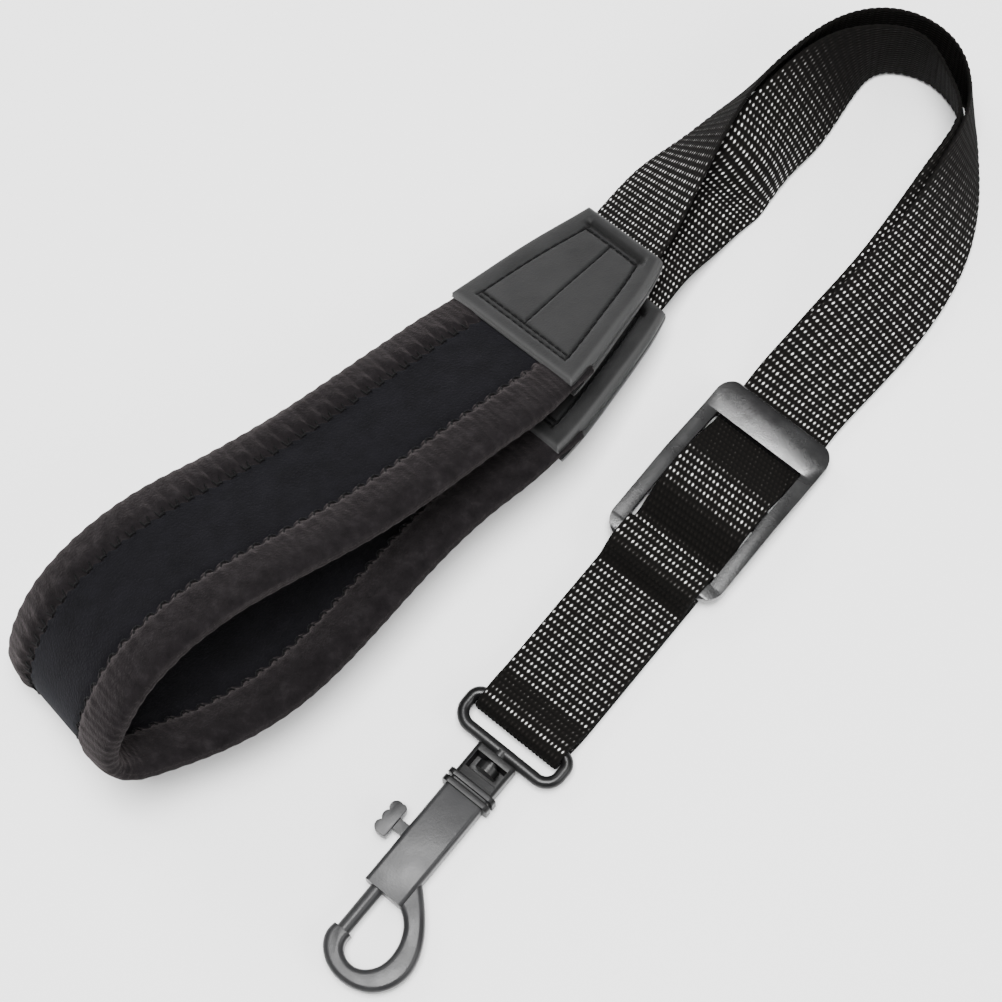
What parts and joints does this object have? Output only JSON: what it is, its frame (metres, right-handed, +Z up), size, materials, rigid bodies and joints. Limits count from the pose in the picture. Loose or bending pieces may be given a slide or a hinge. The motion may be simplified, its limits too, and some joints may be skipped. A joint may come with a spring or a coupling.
{
  "type": "neck strap",
  "caption": "Padded saxophone neck strap: folded neck pad with leather end patches, webbing loop, bar slider for length, and a swivel snap hook with a sprung sliding bolt.",
  "frame": {"origin": "centre of the bounding box in plan, on the table the strap lies on", "axes": "+Z up from the table; the hook, ring and slider lie along Y with the hook's claw towards -Y; the neck pad is on the -X side"},
  "size_m": [0.12, 0.2709, 0.0592],
  "materials": {
    "pad_jersey": "smooth stretch jersey",
    "binding_fabric": "napped knit",
    "leather": "grained, satin",
    "webbing": "woven, slight sheen",
    "slider_plastic": "satin",
    "hook_plastic": "satin",
    "spring_steel": "drawn wire"
  },
  "bodies": {
    "strap": {"pad_core": "pad_jersey", "pad_binding_left": "binding_fabric", "pad_binding_right": "binding_fabric", "upper_patch_outer": "leather", "upper_patch_inner": "leather", "lower_patch_outer": "leather", "lower_patch_inner": "leather", "outer_webbing_run": "webbing", "inner_webbing_run": "webbing"},
    "slider": {"slider_frame": "slider_plastic", "outer_webbing_threaded": "webbing", "inner_webbing_threaded": "webbing", "outer_webbing_tail": "webbing", "inner_webbing_tail": "webbing"},
    "hook_loop": {"outer_webbing_loop": "webbing", "inner_webbing_loop": "webbing", "outer_webbing_lower": "webbing", "inner_webbing_lower": "webbing", "outer_webbing_return": "webbing", "inner_webbing_return": "webbing"},
    "ring": {"swivel_ring": "hook_plastic"},
    "hook": {"hook_body": "hook_plastic", "swivel_collar": "hook_plastic", "bolt_spring": "spring_steel"},
    "bolt": {"spring_bolt": "hook_plastic", "thumb_lever": "hook_plastic"}
  },
  "joints": [
    {"name": "slider_slide", "type": "slide", "parent": "strap", "child": "slider", "axis": [0, 1, 0], "range_m": [-0.035, 0.02], "deforming": ["outer_webbing_run", "inner_webbing_run", "outer_webbing_lower", "inner_webbing_lower", "outer_webbing_return", "inner_webbing_return"]},
    {"name": "loop_follow", "type": "slide", "parent": "slider", "child": "hook_loop", "axis": [0, 1, 0], "range_m": [-0.011, 0.018]},
    {"name": "ring_hinge", "type": "hinge", "parent": "hook_loop", "child": "ring", "pos_m": [0.0437, -0.0632, 0.00395], "axis": [1, 0, 0], "range_deg": [-90, 90]},
    {"name": "hook_swivel", "type": "hinge", "parent": "ring", "child": "hook", "pos_m": [0.0437, -0.078, 0.00395], "axis": [0, 1, 0], "continuous": true},
    {"name": "bolt_slide", "type": "slide", "parent": "hook", "child": "bolt", "axis": [0, 1, 0], "range_m": [0, 0.008], "stiffness_N_per_m": 150, "springref_m": -0.004, "deforming": ["bolt_spring"]}
  ],
  "couplings": [
    {"joint": "loop_follow", "follows": "slider_slide", "ratio": -0.5}
  ]
}
